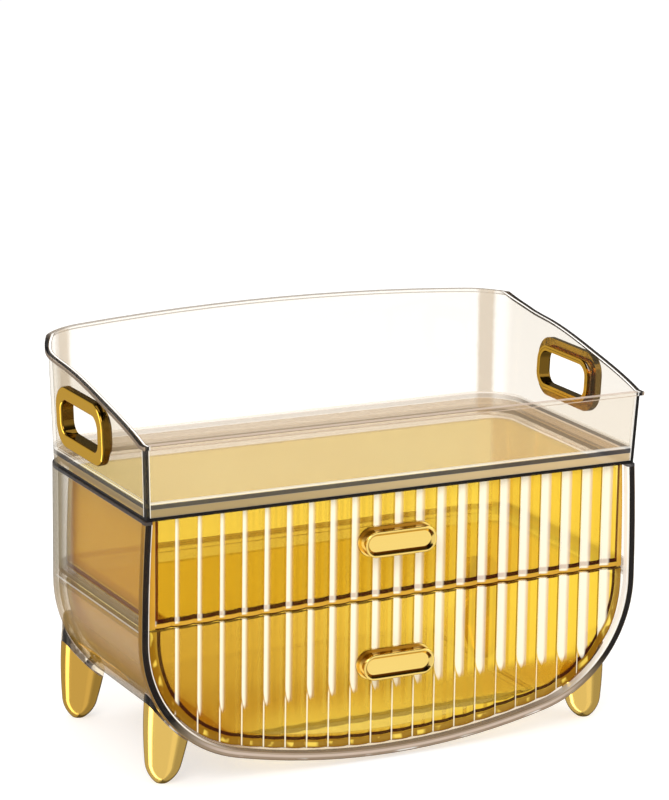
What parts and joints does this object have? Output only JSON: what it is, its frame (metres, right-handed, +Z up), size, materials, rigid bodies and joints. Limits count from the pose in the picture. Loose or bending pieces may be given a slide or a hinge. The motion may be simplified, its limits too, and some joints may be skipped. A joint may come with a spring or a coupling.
{
  "type": "countertop organizer with drawers",
  "caption": "Clear bowl-bottomed countertop organizer with fluted amber drawers, dished gold pulls, tapered gold feet and an open top tray with gold finger rings.",
  "frame": {"origin": "under the middle of the whole object, on the surface that the feet stand on", "axes": "+Z up, -Y towards the front where the drawers open, +X to the right seen from the front"},
  "size_m": [0.2912, 0.1494, 0.2153],
  "materials": {
    "clear_plastic": "clear polystyrene with a faint champagne tint, polished",
    "amber_plastic": "transparent amber polystyrene, polished",
    "gold_plating": "pale gold electroplating on plastic, mirror gloss",
    "screw_steel": "bright zinc-plated steel"
  },
  "bodies": {
    "casing": {"case_shell": "clear_plastic", "middle_shelf": "clear_plastic", "top_tray": "clear_plastic", "left_grip_bezel": "gold_plating", "right_grip_bezel": "gold_plating", "left_grip_backing": "gold_plating", "right_grip_backing": "gold_plating", "foot_screws": "screw_steel", "front_left_foot": "gold_plating", "front_left_collar": "clear_plastic", "front_right_foot": "gold_plating", "front_right_collar": "clear_plastic", "rear_left_foot": "gold_plating", "rear_left_collar": "clear_plastic", "rear_right_foot": "gold_plating", "rear_right_collar": "clear_plastic"},
    "upper_drawer": {"upper_drawer_box": "amber_plastic", "upper_drawer_front": "amber_plastic", "upper_handle": "gold_plating", "upper_handle_screws": "screw_steel"},
    "lower_drawer": {"lower_drawer_box": "amber_plastic", "lower_drawer_front": "amber_plastic", "lower_handle": "gold_plating", "lower_handle_screws": "screw_steel"}
  },
  "joints": [
    {"name": "upper_drawer_slide", "type": "slide", "parent": "casing", "child": "upper_drawer", "axis": [0, -1, 0], "range_m": [0, 0.105]},
    {"name": "lower_drawer_slide", "type": "slide", "parent": "casing", "child": "lower_drawer", "axis": [0, -1, 0], "range_m": [0, 0.105]}
  ]
}
